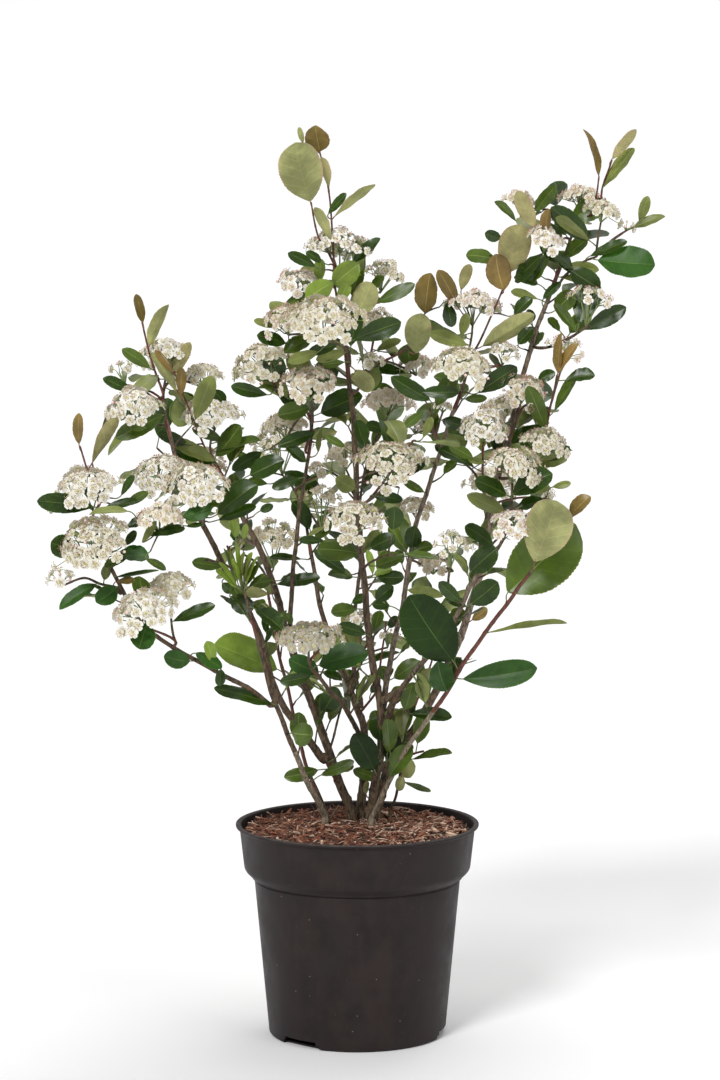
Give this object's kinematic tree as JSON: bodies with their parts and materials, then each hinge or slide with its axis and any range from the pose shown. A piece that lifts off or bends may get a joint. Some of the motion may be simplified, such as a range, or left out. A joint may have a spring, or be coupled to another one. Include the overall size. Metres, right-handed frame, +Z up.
{
  "type": "potted shrub",
  "caption": "Black chokeberry shrub in bloom, with slender stems that fan out of a round black nursery pot filled with mix under bark mulch.",
  "frame": {"origin": "centre of the pot's flat underside, level with the ground", "axes": "+Z up along the pot's axis, -Y towards the viewer of the picture, +X to the viewer's right"},
  "size_m": [0.632, 0.4776, 0.9243],
  "materials": {
    "pot": "semi-matt brown-black, dusty and lightly scuffed",
    "mulch": "rough reddish-brown bark chips and fibres with a few pale grains",
    "bark": "matt grey-brown bark, red-brown on young shoots",
    "foliage": "glossy dark green leaves, dull and paler beneath",
    "blossom": "matt white petals with beige-pink anthers"
  },
  "bodies": {
    "root": {"pot": "pot", "potting_mix": "mulch", "stem_left": "bark", "stem_left_front": "bark", "stem_left_back": "bark", "stem_middle": "bark", "stem_centre": "bark", "stem_right": "bark", "stem_right_front": "bark", "stem_foot": "bark", "bough_left_front": "bark", "bough_left_inner": "bark", "bough_left_low": "bark", "bough_front": "bark", "bough_back": "bark", "bough_right_inner": "bark", "bough_right_low": "bark", "foliage_left_low": "foliage", "foliage_far_left_low": "foliage", "foliage_far_left": "foliage", "foliage_left": "foliage", "foliage_left_top": "foliage", "foliage_left_middle": "foliage", "foliage_left_back": "foliage", "foliage_left_tuft": "foliage", "foliage_left_hollow": "foliage", "foliage_inner_left": "foliage", "foliage_inner": "foliage", "foliage_back_left": "foliage", "foliage_low_left_back": "foliage", "foliage_front": "foliage", "foliage_top_front": "foliage", "foliage_top": "foliage", "foliage_top_right": "foliage", "foliage_centre": "foliage", "foliage_centre_front": "foliage", "foliage_back": "foliage", "foliage_inner_right": "foliage", "foliage_inner_front": "foliage", "foliage_low_middle": "foliage", "foliage_foot": "foliage", "foliage_foot_right": "foliage", "foliage_foot_left": "foliage", "foliage_right_inner": "foliage", "foliage_right_top": "foliage", "foliage_right_leader": "foliage", "foliage_right": "foliage", "foliage_right_back": "foliage", "foliage_right_outer": "foliage", "foliage_right_middle": "foliage", "foliage_right_front": "foliage", "foliage_low_right": "foliage", "foliage_far_right": "foliage", "foliage_far_right_low": "foliage", "foliage_back_right": "foliage"}
  },
  "joints": []
}
